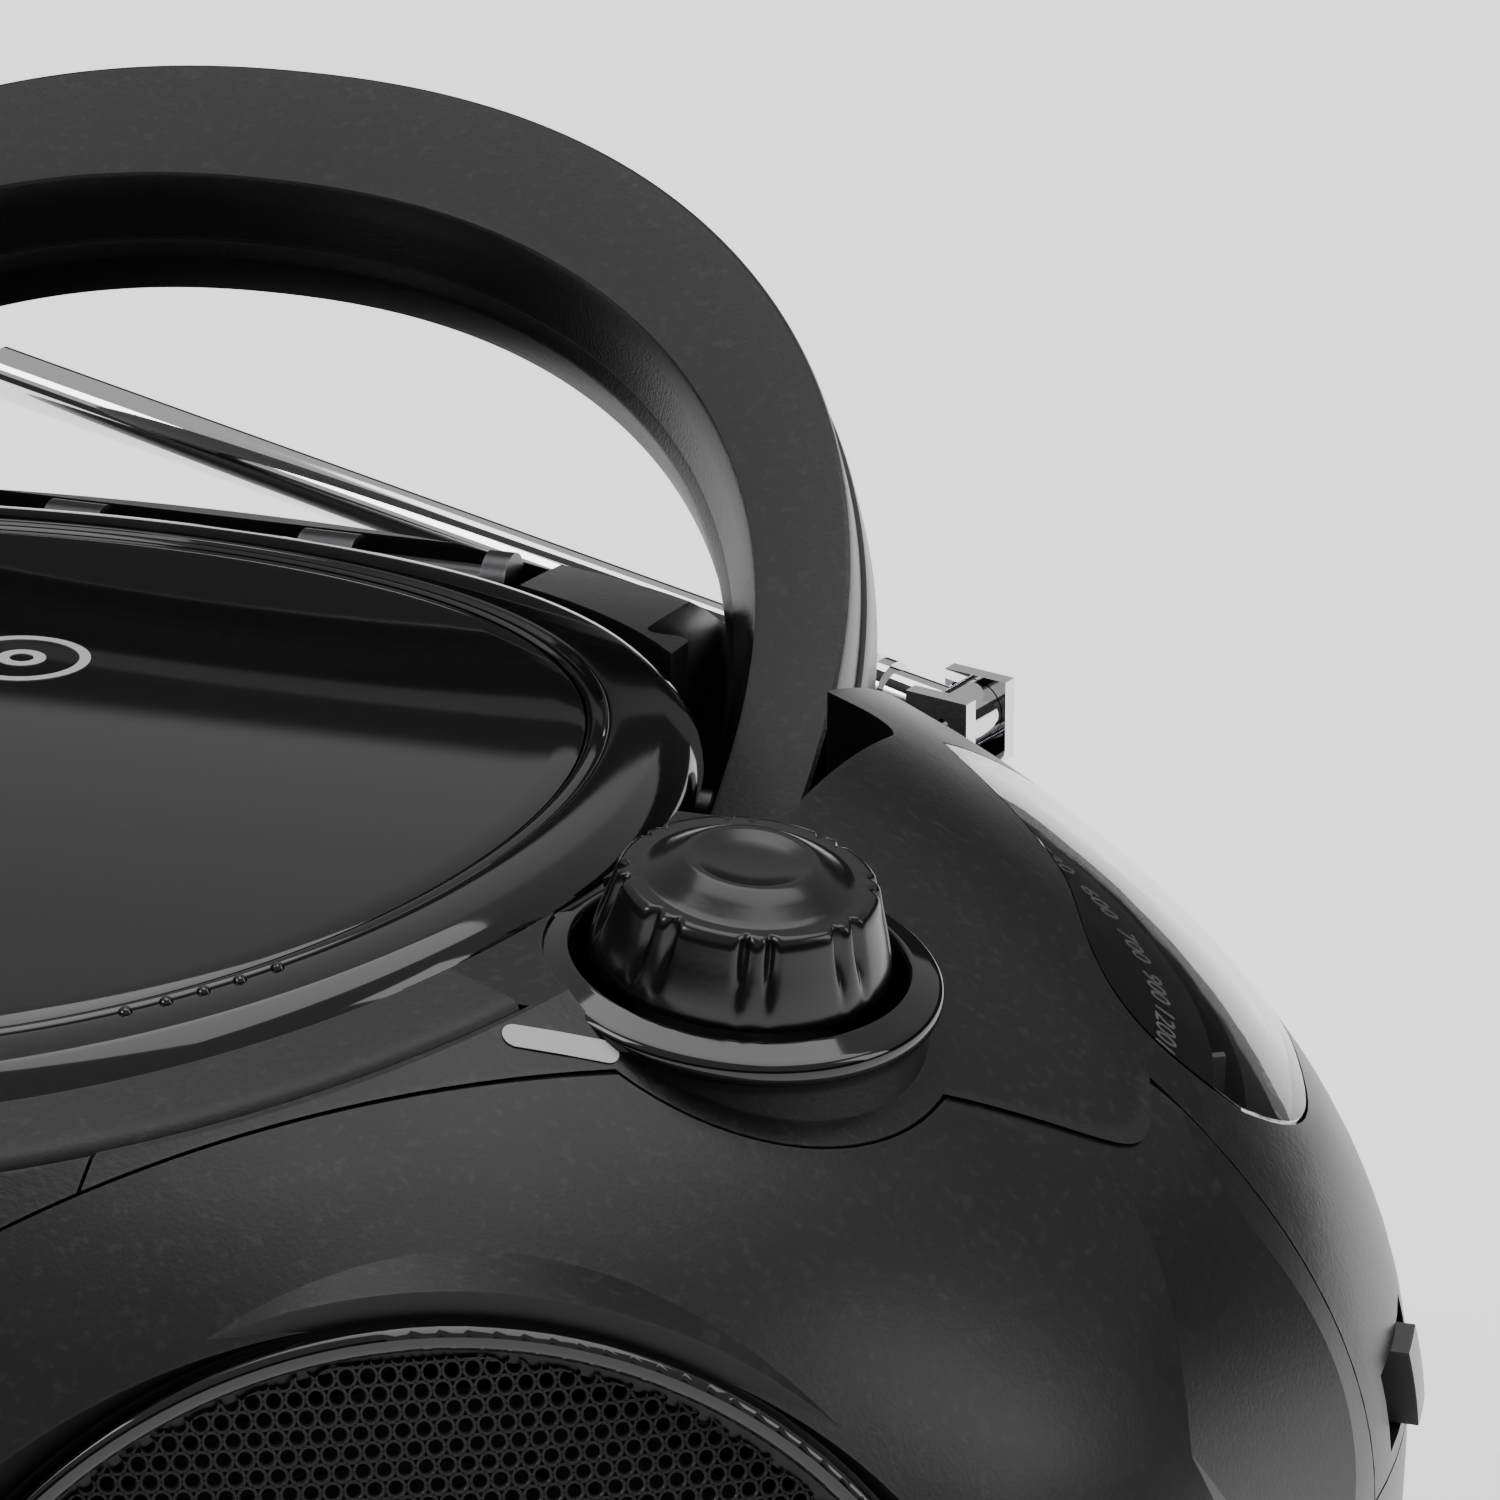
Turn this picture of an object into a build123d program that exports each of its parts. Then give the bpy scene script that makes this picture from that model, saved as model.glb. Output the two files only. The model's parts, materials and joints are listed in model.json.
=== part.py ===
from build123d import *
import math
import os

os.makedirs("parts", exist_ok=True)

# ---------------------------------------------------------------- driving sizes (mm)
body_half_w = 135.0        # half width of the case at the waist
body_half_d = 109.0        # half depth of the case at the waist
crown_h = 70.0             # height of the crown above the waist if it were a full dome
skirt_h = 150.0            # same for the slower curve below the waist
waist_z = 66.0
base_z = 4.0               # underside of the case, held up by the feet
top_z = 122.0              # level of the lid centre
top_r = 355.0              # front-to-back curve of the flattened top
wall = 2.4
seam = 0.3                 # gap between neighbouring case parts

lid_r = 70.4
lid_window_r = 60.2
lid_t = 5.0
lid_proud = 1.0
lid_gap = 0.8
lid_hinge_y = 74.0
lid_hinge_z = 111.5
hinge_half_w = 36.0
knuckle_r = 3.0
hinge_pin_r = 1.5
run_fit = 0.05             # radial clearance of every turning or sliding fit

band_in_r = 71.6
band_out_r = 80.5

well_r = 61.0
well_floor_z = 106.0

knob_x = 84.4
knob_y = -21.8
knob_z = 118.8
knob_r = 13.3
knob_ring_r = 16.6
knob_well_r = 14.2
shaft_r = 3.0

pod_x = 76.5
pod_z = 57.0
pod_r = 56.0
brow_x = 72.1              # second, turned cylinder that shapes the upper edge of each pod
brow_z = 68.8
brow_r = 49.1
brow_yaw = -13.1
brow_pitch = 5.7
cone_x = 75.0
cone_y = -76.0
cone_z = 57.0
cone_yaw = 28.0
cone_pitch = 8.0
grille_r = 48.0
driver_r = 38.0

handle_lean = 58.0         # how far the handle rests back from upright
handle_y = 43.7
handle_z = 103.5
handle_out = 70.9
handle_in = 62.5
handle_out_h = 76.0
handle_in_h = 62.4
handle_depth = 13.0
handle_bevel = 4.0
handle_pin_r = 2.5
hub_r = 6.5

ant_x = 69.9
ant_y = 90.0
ant_z = 96.8
ant_rise = 5.8
ant_yaw = 16.0
tube_r = 2.6
tube_wall = 0.35
tube_len = 116.0

dial_cx = 80.0
dial_cy = 5.0
dial_arm = 38.3

switch_y = 15.0
switch_z = 71.5

# ---------------------------------------------------------------- helpers


def block(x0, x1, y0, y1, z0, z1):
    """Box from its six limits."""
    return Pos((x0 + x1) / 2, (y0 + y1) / 2, (z0 + z1) / 2) * Box(x1 - x0, y1 - y0, z1 - z0)


def rod(x, y, z0, z1, r):
    """Upright round bar."""
    return Pos(x, y, (z0 + z1) / 2) * Cylinder(r, z1 - z0)


def rod_x(x0, x1, y, z, r):
    """Round bar lying along X."""
    return Pos((x0 + x1) / 2, y, z) * Rot(0, 90, 0) * Cylinder(r, x1 - x0)


def rod_y(x, y0, y1, z, r):
    """Round bar lying along Y."""
    return Pos(x, (y0 + y1) / 2, z) * Rot(90, 0, 0) * Cylinder(r, y1 - y0)


def top_below(drop):
    """Everything under the curved top, lowered by drop."""
    return Pos(0, 0, top_z - drop - top_r) * Rot(0, 90, 0) * Cylinder(top_r, 320)


def bulb(off):
    """Case volume, inset by off, before the flat base and top are cut."""
    a = body_half_w - off
    b = body_half_d - off
    up = Pos(0, 0, waist_z) * scale(Sphere(1), by=(a, b, crown_h - off))
    low = Pos(0, 0, waist_z) * scale(Sphere(1), by=(a, b, skirt_h - off))
    up = up & block(-200, 200, -200, 200, waist_z, 300)
    low = low & block(-200, 200, -200, 200, base_z - 2, waist_z)
    return up + low


def case_volume(off):
    """Case volume inset by off, with base and top."""
    return (bulb(off) & top_below(off)) & block(-200, 200, -200, 200, base_z + off, 300)


def mirror_x(shape):
    return mirror(shape, about=Plane.YZ)


def save(shape, name):
    shape.label = name
    export_step(shape, "parts/" + name + ".step")


outer = case_volume(0)
inner = case_volume(wall)
shell = outer - inner

# ---------------------------------------------------------------- knob frames
knob_dir = (0.13, -0.06, 0.9897)
right_knob = Plane(origin=(knob_x, knob_y, knob_z), x_dir=(1, 0, 0), z_dir=knob_dir).location
knob_bore = right_knob * Cylinder(knob_ring_r + 0.1, 40)
knob_land = 2.8            # strip of casing kept between the collar and the pod

# ---------------------------------------------------------------- regions of the case
def pod_outline(grow):
    """Bar through the case that marks out one speaker pod, grown sideways."""
    turn = math.radians(brow_yaw)
    tip = math.radians(brow_pitch)
    axis = (math.sin(turn) * math.cos(tip), -math.cos(turn) * math.cos(tip), math.sin(tip))
    brow = Plane(origin=(brow_x, -60, brow_z), z_dir=axis).location * Cylinder(brow_r + grow, 260)
    outline = brow + rod_y(pod_x, -150, 20, pod_z, pod_r + grow)
    return outline - right_knob * Cylinder(knob_ring_r + knob_land - grow, 60)


pod_limits = block(0, 200, -200, 0, base_z + 4.3, 200)
pod_zone = pod_outline(0) & pod_limits
pod_hole = pod_outline(seam) & block(0, 200, -200, seam, base_z + 4.0, 200)
pod_holes = pod_hole + mirror_x(pod_hole)
panel_half = 44.0
panel_cut = block(-panel_half - seam, panel_half + seam, -140, 0, base_z + 4.0, 200)
panel_cut = panel_cut - rod(0, 0, 80, 200, band_out_r + 0.4)
panel_zone = block(-panel_half, panel_half, -140, 0, base_z + 4.3, 200)
panel_zone = panel_zone - rod(0, 0, 80, 200, band_out_r + 0.4 + seam)


# ---------------------------------------------------------------- dial outline
dial_inner_edge = [(83, 42), (94.6, 30), (99.5, 24), (103.8, 15.6), (110.5, 7.2), (120, 9)]
dial_outer_edge = [(120, 9), (122.5, 20), (119, 32), (112, 46), (98, 57), (83, 42)]
dial_mid = (106.0, 31.0)


def dial_outline(grow):
    """Upright prism of the dial outline, grown outward from its middle."""
    size = 1 + grow / 18.0
    sides = []
    for edge in (dial_inner_edge, dial_outer_edge):
        pts = []
        for x, y in edge:
            pts.append((dial_mid[0] + (x - dial_mid[0]) * size, dial_mid[1] + (y - dial_mid[1]) * size))
        sides.append(Spline(*pts))
    return Pos(0, 0, 70) * extrude(make_face(sides), amount=80, dir=(0, 0, 1))


dial_prism = dial_outline(0)
dial_hole = dial_outline(seam)

# ---------------------------------------------------------------- handle sockets
sock_x0 = 57.0
sock_x1 = 73.2
sock_y0 = 34.0
sock_y1 = 71.0
sock_z0 = 95.0
sock_wall = 2.2
socket_cut = block(sock_x0, sock_x1, sock_y0, sock_y1, sock_z0, 140)
socket_cut += block(sock_x0 - 5, sock_x1, sock_y0 + 15, sock_y1 + 2, sock_z0, 140)
socket_cut = fillet(socket_cut.edges().filter_by(Axis.Z), 2.0)
channel_x1 = 80.6
channel_y0 = 1.5
channel_y1 = 38.0
channel_z0 = 100.0
channel = block(60, channel_x1, channel_y0, channel_y1, channel_z0, 140)
channel = fillet(channel.edges().filter_by(Axis.Z), 4.5)
socket_cut += channel
socket_body = block(
    sock_x0 - sock_wall,
    sock_x1 + sock_wall,
    sock_y0 - sock_wall,
    sock_y1 + sock_wall,
    sock_z0 - sock_wall,
    140,
)
socket_body += block(
    sock_x0 - 5 - sock_wall,
    sock_x1 + sock_wall,
    sock_y0 + 15 - sock_wall,
    sock_y1 + 2 + sock_wall,
    sock_z0 - sock_wall,
    140,
)
socket_body += block(
    60 - sock_wall,
    channel_x1 + sock_wall,
    channel_y0 - sock_wall,
    channel_y1 + sock_wall,
    channel_z0 - sock_wall,
    140,
)
socket_body = socket_body & case_volume(wall - 0.2)
lid_well = rod(0, 0, 80, 140, lid_r + lid_gap)
hinge_relief = block(-hinge_half_w, hinge_half_w, 55, lid_hinge_y + knuckle_r + 1.0, 80, 140)

# ---------------------------------------------------------------- top casing
front_arc = block(-200, 200, -200, -38, 0, 300)
band_cut = (rod(0, 0, 80, 140, band_out_r + 0.4) - rod(0, 0, 80, 140, 60)) & front_arc
antenna_seat = rod(ant_x, ant_y, 60, 140, 5.2)
upper = shell & block(-200, 200, -200, 200, waist_z + seam / 2, 300)
upper = upper - pod_holes
upper = upper - panel_cut
upper = upper + (socket_body - lid_well) + (mirror_x(socket_body) - lid_well)
upper = upper - socket_cut - mirror_x(socket_cut)
upper = upper - lid_well - hinge_relief - band_cut
upper = upper - knob_bore - mirror_x(knob_bore)
upper = upper - dial_hole
upper = upper - rod(ant_x, ant_y, 60, 140, 4.0)
handle_pin_bore = rod_x(sock_x0 - 8, sock_x1 + 8, handle_y, handle_z, handle_pin_r + 0.02)
upper = upper - handle_pin_bore - mirror_x(handle_pin_bore)
switch_slot = block(120, 140, switch_y - 8.5, switch_y + 8.5, switch_z - 3.6, switch_z + 3.6)
upper = upper - switch_slot
top_casing = max(upper.solids(), key=lambda s: s.volume)
save(top_casing, "top_casing")

# ---------------------------------------------------------------- bottom casing
lower = shell & block(-200, 200, -200, 200, base_z - 1, waist_z - seam / 2)
lower = lower - pod_holes - panel_cut
door_x = 46.0
door_z0 = 18.0
door_z1 = 54.0
door_cut = block(-door_x - seam, door_x + seam, 0, 140, door_z0 - 1.5, door_z1 + seam)
lower = lower - door_cut
lower = lower - rod_y(-60, 50, 130, 46, 4.2) - block(50.8, 73.2, 50, 130, 37.8, 54.2)
bottom_casing = max(lower.solids(), key=lambda s: s.volume)
save(bottom_casing, "bottom_casing")

# ---------------------------------------------------------------- speaker pods
yaw = math.radians(cone_yaw)
pitch = math.radians(cone_pitch)
cone_dir = (math.sin(yaw) * math.cos(pitch), -math.cos(yaw) * math.cos(pitch), math.sin(pitch))
cone_side = (math.cos(yaw), math.sin(yaw), 0)
cone = Plane(origin=(cone_x, cone_y, cone_z), x_dir=cone_side, z_dir=cone_dir).location

drum = cone * Pos(0, 0, -9) * Cone(58, grille_r + 3.2, 18)
drum = drum & block(10, 150, -140, -25, base_z + 4.3, 118)
dish = cone * Pos(0, 0, 8) * Cone(grille_r + 1.2, grille_r + 16, 16)
pod_solid = (outer & pod_zone) + (drum & rod_y(pod_x, -160, 0, pod_z, pod_r)) - dish
drum_in = cone * Pos(0, 0, -9 - wall) * Cone(55, grille_r + 1, 18)
drum_in = drum_in & block(12, 148, -140, -27, base_z + 7, 116)
dish_skin = cone * Pos(0, 0, 8 - wall) * Cone(grille_r + 3, grille_r + 18, 16)
pod_zone_in = pod_outline(5) & block(0, 200, -200, 10, 0, 200)
inner_tall = inner & pod_zone_in
pod_core = inner_tall + (drum_in & rod_y(pod_x, -160, 0, pod_z, pod_r - 3)) - dish_skin
pod = pod_solid - pod_core
pod = pod - cone * Cylinder(grille_r - 2.6, 60) - right_knob * Cylinder(knob_ring_r + seam, 40)
pod = pod - rod(0, 0, 100, 140, band_out_r + 0.4)
pod = max(pod.solids(), key=lambda s: s.volume)
save(pod, "speaker_pod_right")
save(mirror_x(pod), "speaker_pod_left")

# ---------------------------------------------------------------- grilles and drivers
cap_rise = 7.0
cap_r = (grille_r**2 + cap_rise**2) / (2 * cap_rise)
mesh_t = 0.8
mesh = Pos(0, 0, cap_rise - cap_r) * (Sphere(cap_r) - Sphere(cap_r - mesh_t))
mesh = cone * (mesh & (Pos(0, 0, 5.2) * Cylinder(grille_r - 1.6, 10)))
save(mesh, "grille_right")
save(mirror_x(mesh), "grille_left")
ring = Cylinder(grille_r + 0.9, 2.6) - Cylinder(grille_r - 1.2, 2.6)
ring = fillet(ring.edges().filter_by(GeomType.CIRCLE).group_by(Axis.Z)[-1], 0.8)
ring = cone * Pos(0, 0, 1.4) * ring
save(ring, "grille_ring_right")
save(mirror_x(ring), "grille_ring_left")

basket = Cylinder(driver_r + 3, 2) - Cylinder(driver_r - 3, 2)
basket += Pos(0, 0, -9) * (Cone(20, driver_r, 16) - Cone(18, driver_r - 2, 16))
basket += Pos(0, 0, -17.5) * (Cylinder(20, 3) - Cylinder(13, 3))
magnet = Pos(0, 0, -24.5) * Cylinder(22, 11)
frame = cone * Pos(0, 0, -8) * (basket + magnet)
paper = Cone(11, driver_r - 4, 11) - Pos(0, 0, 0.01) * Cone(10, driver_r - 5, 11.02)
paper += Pos(0, 0, -5) * Cylinder(10.9, 1)
paper = cone * Pos(0, 0, -14.5) * paper
driver = Compound(children=[frame, paper])
save(driver, "speaker_driver_right")
save(mirror_x(Compound(children=[frame, paper])), "speaker_driver_left")

# ---------------------------------------------------------------- centre panel and its buttons
panel_side = pod_outline(seam) & block(0, 200, -200, 0, 0, 200)
panel = (shell & panel_zone) - panel_side - mirror_x(panel_side)
display = (11.0, 84.0, 98.0)
display_cut = block(-display[0], display[0], -140, -60, display[1], display[2])
key_rows = [
    ("play_button", 0.0, 68.0, 5.5),
    ("stop_button", 0.0, 53.0, 5.5),
    ("skip_back_button", -8.6, 38.5, 4.0),
    ("skip_forward_button", 8.6, 38.5, 4.0),
    ("program_button", 0.0, 24.5, 4.5),
]
key_gap = 0.25
panel = panel - display_cut
for key_name, key_x, key_z, key_r in key_rows:
    panel = panel - rod_y(key_x, -140, -60, key_z, key_r + key_gap)
save(max(panel.solids(), key=lambda s: s.volume), "center_panel")
window = (outer - case_volume(1.5)) & block(
    -display[0] + 0.15, display[0] - 0.15, -140, -60, display[1] + 0.15, display[2] - 0.15
)
save(window, "display_window")
lcd = block(-display[0] - 2, display[0] + 2, -98.0, -96.0, display[1] + 1, display[2] - 1)
lcd = lcd & case_volume(wall + 0.6)
key_skin = bulb(-1.2)
for key_name, key_x, key_z, key_r in key_rows:
    key = rod_y(key_x, -140, -96, key_z, key_r) & key_skin
    key = key + (rod_y(key_x, -98, -96, key_z, key_r + 1.0) & case_volume(wall + 1.6))
    save(key, key_name)
key_board = block(-16, 16, -92.6, -91.0, 18, 82)
save(Compound(children=[key_board & inner, lcd]), "display_board")

# ---------------------------------------------------------------- lid surround
band_skin = bulb(-0.4) & top_below(-0.4)
band = (band_skin - bulb(wall)) + ((band_skin - top_below(wall)) & bulb(-0.4))
band = band & (rod(0, 0, 100, 140, band_out_r) - rod(0, 0, 100, 140, band_in_r))
band = band & block(-200, 200, -200, -38.3, 0, 300)
band = band - (right_knob * Cylinder(knob_ring_r + 0.4, 60))
band = band - mirror_x(right_knob * Cylinder(knob_ring_r + 0.4, 60))
save(max(band.solids(), key=lambda s: s.volume), "lid_surround")

# ---------------------------------------------------------------- disc well
well = rod(0, 0, well_floor_z - 2, 110.4, well_r + 1.4) - rod(0, 0, well_floor_z, 120, well_r)
well_flange = rod(0, 0, 108.6, 110.4, 69.0) - rod(0, 0, 100, 120, well_r + 0.7)
well_flange = well_flange & block(-49.4, 49.4, -80, 44, 100, 120)
well = well + well_flange
sled_slot = block(-12, 12, -56, -8, 90, 120)
well = well - sled_slot - rod(0, 0, 90, 120, 14)
well = well - block(-33, 33, 55, 90, 90, 130)
save(max(well.solids(), key=lambda s: s.volume), "disc_well")
hub = rod(0, 0, well_floor_z + 1.5, well_floor_z + 3.0, 13.5)
hub += rod(0, 0, well_floor_z + 3.0, well_floor_z + 5.5, 7.3)
hub += rod(0, 0, well_floor_z - 6.0, well_floor_z + 1.5, 1.5)
save(hub, "disc_spindle")
motor = rod(0, 0, 80, well_floor_z - 4.5, 11) - rod(0, 0, 90, 110, 1.5 + run_fit)
save(motor, "spindle_motor")
rails_y0 = -58.0
sled = block(-9.5, 9.5, -34, -20, 96, 102)
rail_cut = rod_y(-7, -60, -10, 99, 1.0 + run_fit) + rod_y(7, -60, -10, 99, 1.0 + run_fit)
sled = sled - rail_cut
lens_seat = rod(0, -27, 98, 103, 3.0)
save(sled - lens_seat, "pickup_sled")
lens = rod(0, -27, 98.0, 103.0, 2.95)
save(lens, "pickup_lens")
rails = rod_y(-7, rails_y0, -15.5, 99, 1.0) + rod_y(7, rails_y0, -15.5, 99, 1.0)
rail_end = block(-11, 11, -60, -58, 95, 103.8) + block(-11, 11, -15.5, -14.5, 94, 103.8)
save(rails + rail_end, "pickup_rails")

# ---------------------------------------------------------------- lid
lid_skin = top_below(-lid_proud) - top_below(-lid_proud + lid_t)
frame_ring = rod(0, 0, 90, 140, lid_r) - rod(0, 0, 90, 140, lid_window_r)
lid_frame = lid_skin & frame_ring
lid_ledge = (top_below(1.6) - top_below(3.4)) & (rod(0, 0, 90, 140, lid_r - 3) - rod(0, 0, 90, 140, 57.5))
knuckle = rod_x(16, 28, lid_hinge_y, lid_hinge_z, knuckle_r)
arm = block(16, 28, 63, lid_hinge_y, lid_hinge_z - knuckle_r, lid_hinge_z + 2) & top_below(1.0)
knuckle = knuckle + arm
lid_frame = lid_frame + lid_ledge + knuckle + mirror_x(knuckle)
lid_frame = lid_frame - rod_x(-40, 40, lid_hinge_y, lid_hinge_z, hinge_pin_r + run_fit)
lid_frame = lid_frame - rod(0, 0, 90, 140, 57.5)
save(max(lid_frame.solids(), key=lambda s: s.volume), "lid_frame")
pane = (top_below(-lid_proud + 0.5) - top_below(1.5)) & rod(0, 0, 90, 140, lid_window_r - 0.1)
save(pane, "lid_window")
clamp = rod(0, 0, 113.6, 119.6, 5.0) + rod(0, 0, 118.0, 119.6, 14)
save(clamp, "disc_clamp")
hinge_floor = 104.0
pins = rod_x(13, 31, lid_hinge_y, lid_hinge_z, hinge_pin_r)
bearing = rod_x(10, 15.5, lid_hinge_y, lid_hinge_z, knuckle_r) + rod_x(28.5, 31, lid_hinge_y, lid_hinge_z, knuckle_r)
post_y0 = lid_hinge_y - knuckle_r
post_y1 = lid_hinge_y + knuckle_r
bearing = bearing + block(10, 15.5, post_y0, post_y1, hinge_floor, lid_hinge_z)
bearing = bearing + block(28.5, 31, post_y0, post_y1, hinge_floor, lid_hinge_z)
hinge = pins + bearing
tray = block(-hinge_half_w + 0.1, hinge_half_w - 0.1, post_y0 - 0.2, post_y1 + 0.9, hinge_floor - 1.6, hinge_floor)
hinge_block = hinge + mirror_x(hinge) + tray
save(hinge_block, "lid_hinge_bracket")

# ---------------------------------------------------------------- knobs
collar = Pos(0, 0, -3.5) * Cylinder(knob_ring_r, 11) - Pos(0, 0, 3.4) * Cylinder(knob_well_r, 8)
collar = collar - Cylinder(shaft_r + 1.5, 60)
collar = chamfer(collar.edges().filter_by(GeomType.CIRCLE).group_by(Axis.Z)[-1], 0.9)
collar = right_knob * collar - rod(0, 0, 80, 140, lid_r + lid_gap)
save(collar, "knob_collar_right")
save(mirror_x(collar), "knob_collar_left")

knob = Pos(0, 0, 3.6) * Cone(knob_r - 0.2, 11.6, 6.0)
knob += Pos(0, 0, 7.5) * Cylinder(11.1, 2.2)
flute = Pos(13.2, 0, 6.8) * Cylinder(1.9, 8)
for i in range(12):
    knob -= Rot(0, 0, 30 * i) * flute
knob += Pos(0, 0, 9.5) * Cone(8.8, 5.2, 1.8)
knob -= Pos(0, 0, 25.3) * Sphere(15.6)
knob += Pos(0, 0, -7) * Cylinder(shaft_r, 20)
save(right_knob * knob, "tuning_knob")
save(mirror_x(right_knob * knob), "volume_knob")
control = Pos(0, 0, -14.2) * Box(20, 20, 9) - Pos(0, 0, 0) * Cylinder(shaft_r + run_fit, 60)
save(right_knob * control, "tuning_capacitor")
save(mirror_x(right_knob * control), "volume_control")

# ---------------------------------------------------------------- tuning dial
glass = (outer - case_volume(1.6)) & dial_prism
save(max(glass.solids(), key=lambda s: s.volume), "dial_window")
sweep_from = 5.0
sweep_to = 68.0
slot_arc = rod(dial_cx, dial_cy, 60, 140, dial_arm + 1.4) - rod(dial_cx, dial_cy, 60, 140, dial_arm - 1.4)
wedge_pts = [(0, 0)]
for i in range(5):
    turn = math.radians(sweep_from + (sweep_to - sweep_from) * i / 4)
    wedge_pts.append((70 * math.cos(turn), 70 * math.sin(turn)))
wedge = make_face(Polyline(*wedge_pts, close=True))
wedge = Pos(dial_cx, dial_cy, 60) * extrude(wedge, amount=80, dir=(0, 0, 1))
slot_arc = slot_arc & wedge
plate = (case_volume(wall + 0.5) - case_volume(wall + 1.5)) & (
    dial_outline(2.5)
)
plate = max(plate.solids(), key=lambda s: s.volume) - slot_arc
plate = plate - (right_knob * Cylinder(knob_ring_r + 0.5, 60))
plate = plate - block(40, channel_x1 + sock_wall + 0.3, -5, 80, 80, 130)
save(max(plate.solids(), key=lambda s: s.volume), "dial_plate")
arm_z = 84.0
rest_turn = 30.0
arm = block(0, dial_arm + 0.8, -0.8, 0.8, arm_z, arm_z + 1.2)
arm += rod(0, 0, arm_z - 1, arm_z + 2.2, 4)
arm += block(dial_arm - 0.8, dial_arm + 0.8, -0.5, 0.5, arm_z, 95.0)
arm -= rod(0, 0, 60, 120, 1.5 + run_fit)
arm = Pos(dial_cx, dial_cy, 0) * Rot(0, 0, rest_turn) * arm
save(arm, "dial_pointer")
post = rod(dial_cx, dial_cy, 70, arm_z + 4, 1.5) + rod(dial_cx, dial_cy, 68, arm_z - 1.2, 3.2)
save(post, "dial_post")

# ---------------------------------------------------------------- handle
lean = math.radians(handle_lean)
handle_frame = Plane(
    origin=(0, handle_y, handle_z),
    x_dir=(1, 0, 0),
    z_dir=(0, -math.cos(lean), math.sin(lean)),
).location
half_t = handle_depth / 2


def arch(half_width, height, z):
    """Closed outline of an arch, straight below the pivot line."""
    pts = []
    count = 12
    for i in range(count + 1):
        turn = math.pi * i / count
        c = math.cos(turn)
        s = math.sin(turn)
        px = half_width * math.copysign(abs(c) ** (2 / 2.2), c)
        pts.append((px, height * abs(s) ** (2 / 2.2)))
    curve = Spline(*pts, tangents=[(0, 1), (0, -1)])
    base = -hub_r - 1
    sides = Polyline(pts[-1], (-half_width, base), (half_width, base), pts[0])
    return Pos(0, 0, z) * make_face([curve, sides])


outer_front = extrude(arch(handle_out, handle_out_h, 0), amount=half_t)
inner_front = loft([arch(handle_in - 3.2, handle_in_h - 3.2, -1.5), arch(handle_in, handle_in_h, half_t)])
outer_rear = extrude(arch(handle_out + 0.5, handle_out_h + 0.5, -half_t), amount=half_t - 0.1)
in_rear = handle_in - handle_bevel
inner_rear = extrude(arch(in_rear, handle_in_h - handle_bevel, -half_t - 1), amount=half_t + 3)
hub_trim = rod_x(-90, 90, 0, 0, hub_r) + block(-90, 90, 0, 120, -half_t - 1, half_t + 1)
handle_bore = rod_x(-90, 90, 0, 0, handle_pin_r + run_fit)
front = (outer_front - inner_front) & hub_trim
rear = (outer_rear - inner_rear) & hub_trim
front = front - handle_bore
rear = rear - handle_bore
save(handle_frame * front, "handle_front")
save(handle_frame * rear, "handle_rear")
pin = rod_x(sock_x0 - 2, sock_x1 + 2, handle_y, handle_z, handle_pin_r)
save(pin + mirror_x(pin), "handle_pins")

# ---------------------------------------------------------------- telescopic antenna
rise = math.radians(ant_rise)
post = rod(ant_x, ant_y, 66.6, ant_z - 6.3, 3.8)
foot = rod(ant_x - 1, ant_y - 5, 66.6, 70.0, 7.0) & case_volume(wall + 0.4)
post = post + foot
save(post, "antenna_post")
yoke = rod(ant_x, ant_y, ant_z - 5.9, ant_z - 3.6, 4.2)
heading = math.radians(ant_yaw)
yoke_turn = Pos(ant_x, ant_y, 0) * Rot(0, 0, -ant_yaw) * Pos(-ant_x, -ant_y, 0)
cheek = block(ant_x - 3.4, ant_x + 3.4, ant_y - 4.2, ant_y - 2.6, ant_z - 4.5, ant_z + 3.4)
yoke = yoke + cheek + cheek.moved(Location((0, 6.8, 0)))
yoke = yoke + rod_y(ant_x, ant_y - 4.8, ant_y + 4.8, ant_z, 1.2)
save(yoke_turn * yoke, "antenna_yoke")
ant_frame = Plane(
    origin=(ant_x, ant_y, ant_z),
    x_dir=(math.sin(heading), math.cos(heading), 0),
    z_dir=(-math.cos(rise) * math.cos(heading), math.cos(rise) * math.sin(heading), math.sin(rise)),
).location
tongue = Rot(0, 90, 0) * Cylinder(3.0, 5.0)
neck = Pos(0, 0, 4.5) * Cylinder(2.45, 7) + Pos(0, 0, 8.5) * Cylinder(3.1, 1.4)
neck = neck + Pos(0, 0, 10.8) * Cylinder(3.1, 1.4) + Pos(0, 0, 10) * Cylinder(2.45, 5)
ant_base = tongue + neck - Rot(0, 90, 0) * Cylinder(1.2 + run_fit, 20)
save(ant_frame * ant_base, "antenna_knuckle")
radii = [tube_r, tube_r - 0.45, tube_r - 0.9, tube_r - 1.35]
for i, r in enumerate(radii):
    start = 12.6 + 0.4 * i
    end = tube_len - 1.6 + 0.4 * i
    tube = Pos(0, 0, (start + end) / 2) * Cylinder(r, end - start)
    if i < 3:
        tube -= Pos(0, 0, (start + end) / 2 + 0.2) * Cylinder(r - tube_wall - 0.05, end - start)
        tube -= Pos(0, 0, end) * Cylinder(radii[i + 1] + run_fit, 3)
    else:
        tip = Pos(0, 0, tube_len + 1.7) * Cylinder(2.2, 3.4)
        tube += fillet(tip.edges().filter_by(GeomType.CIRCLE), 0.7)
    save(ant_frame * tube, "antenna_section_" + str(i + 1))

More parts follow.
